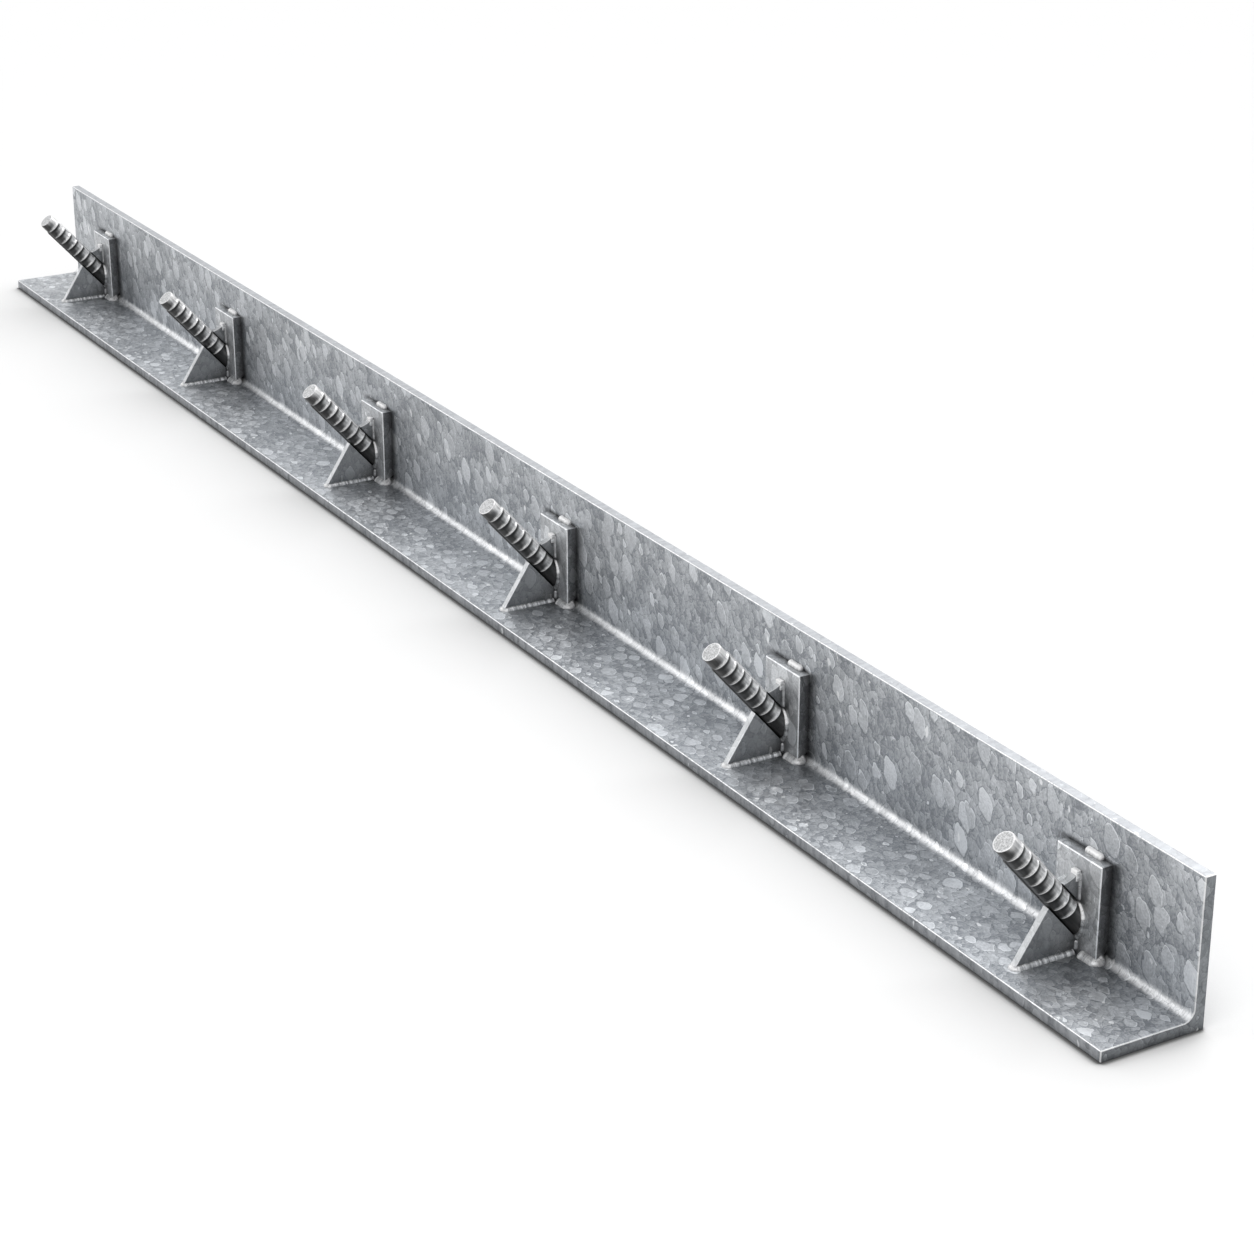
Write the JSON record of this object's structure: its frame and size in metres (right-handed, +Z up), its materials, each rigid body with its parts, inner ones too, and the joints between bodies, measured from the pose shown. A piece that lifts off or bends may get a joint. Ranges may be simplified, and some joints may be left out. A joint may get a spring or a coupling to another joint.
{
  "type": "embed angle",
  "caption": "Galvanised steel embed angle: a long unequal angle with ribbed anchor bars on gusseted backing plates, cast into a concrete edge.",
  "frame": {"origin": "middle of the underside of the lower leg", "axes": "+X along the angle, +Y towards the outer face of the upright leg, +Z up"},
  "size_m": [1.8, 0.0783, 0.1],
  "materials": {
    "angle_zinc": "hot-dip galvanised, with large blue-grey spangle",
    "plate_zinc": "hot-dip galvanised, dull grey",
    "bar_zinc": "hot-dip galvanised ribbed bar, dark grey",
    "weld_zinc": "galvanised weld bead, bright and rippled"
  },
  "bodies": {
    "root": {"angle_section": "angle_zinc", "backing_plate_1": "plate_zinc", "anchor_bar_1": "bar_zinc", "lower_gusset_1": "plate_zinc", "upper_gusset_1": "plate_zinc", "plate_foot_weld_1": "weld_zinc", "plate_top_weld_1": "weld_zinc", "bar_ring_weld_1": "weld_zinc", "lower_gusset_weld_1": "weld_zinc", "upper_gusset_weld_1": "weld_zinc", "backing_plate_2": "plate_zinc", "anchor_bar_2": "bar_zinc", "lower_gusset_2": "plate_zinc", "upper_gusset_2": "plate_zinc", "plate_foot_weld_2": "weld_zinc", "plate_top_weld_2": "weld_zinc", "bar_ring_weld_2": "weld_zinc", "lower_gusset_weld_2": "weld_zinc", "upper_gusset_weld_2": "weld_zinc", "backing_plate_3": "plate_zinc", "anchor_bar_3": "bar_zinc", "lower_gusset_3": "plate_zinc", "upper_gusset_3": "plate_zinc", "plate_foot_weld_3": "weld_zinc", "plate_top_weld_3": "weld_zinc", "bar_ring_weld_3": "weld_zinc", "lower_gusset_weld_3": "weld_zinc", "upper_gusset_weld_3": "weld_zinc", "backing_plate_4": "plate_zinc", "anchor_bar_4": "bar_zinc", "lower_gusset_4": "plate_zinc", "upper_gusset_4": "plate_zinc", "plate_foot_weld_4": "weld_zinc", "plate_top_weld_4": "weld_zinc", "bar_ring_weld_4": "weld_zinc", "lower_gusset_weld_4": "weld_zinc", "upper_gusset_weld_4": "weld_zinc", "backing_plate_5": "plate_zinc", "anchor_bar_5": "bar_zinc", "lower_gusset_5": "plate_zinc", "upper_gusset_5": "plate_zinc", "plate_foot_weld_5": "weld_zinc", "plate_top_weld_5": "weld_zinc", "bar_ring_weld_5": "weld_zinc", "lower_gusset_weld_5": "weld_zinc", "upper_gusset_weld_5": "weld_zinc", "backing_plate_6": "plate_zinc", "anchor_bar_6": "bar_zinc", "lower_gusset_6": "plate_zinc", "upper_gusset_6": "plate_zinc", "plate_foot_weld_6": "weld_zinc", "plate_top_weld_6": "weld_zinc", "bar_ring_weld_6": "weld_zinc", "lower_gusset_weld_6": "weld_zinc", "upper_gusset_weld_6": "weld_zinc"}
  },
  "joints": []
}
